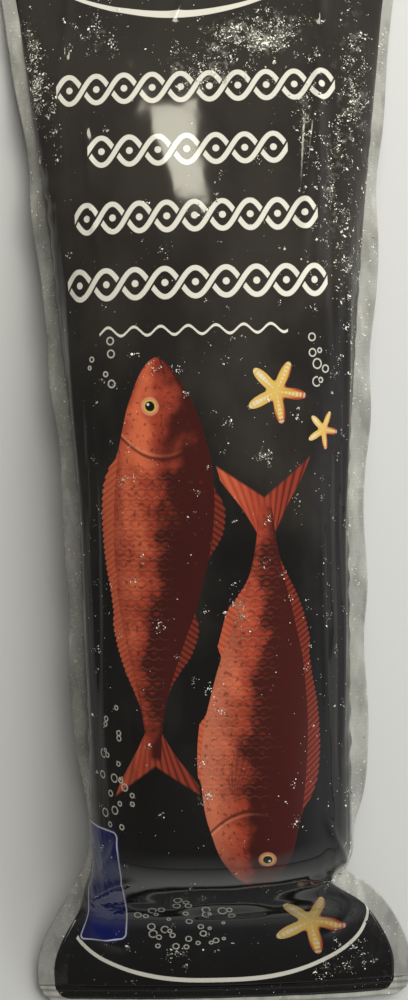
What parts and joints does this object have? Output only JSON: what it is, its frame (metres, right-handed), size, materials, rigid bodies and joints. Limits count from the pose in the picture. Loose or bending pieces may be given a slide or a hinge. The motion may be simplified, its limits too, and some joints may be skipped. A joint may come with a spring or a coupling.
{
  "type": "frozen seafood pouch",
  "caption": "Long sealed pouch of dark printed film drawn tight round a frozen block of seafood, with clear side seals and printed, crimped ends, lying on its back.",
  "frame": {"origin": "middle of the pouch's footprint, on the floor that it lies on", "axes": "+Y along the pouch from the bottom seal to the top seal, +Z up out of its printed front, +X to the right of the front seen from above with +Y up"},
  "size_m": [0.1406, 0.3996, 0.0529],
  "materials": {
    "printed_film": "glossy dark printed film, finely crinkled and frosted",
    "clear_margin": "unprinted welded film, milky and pale grey",
    "frozen_seafood": "frozen seafood in cloudy ice"
  },
  "bodies": {
    "root": {"front_panel": "printed_film", "back_panel": "printed_film", "frozen_block": "frozen_seafood", "side_seal_left": "clear_margin", "side_seal_right": "clear_margin", "end_seal_bottom": "printed_film", "end_seal_top": "printed_film"}
  },
  "joints": []
}
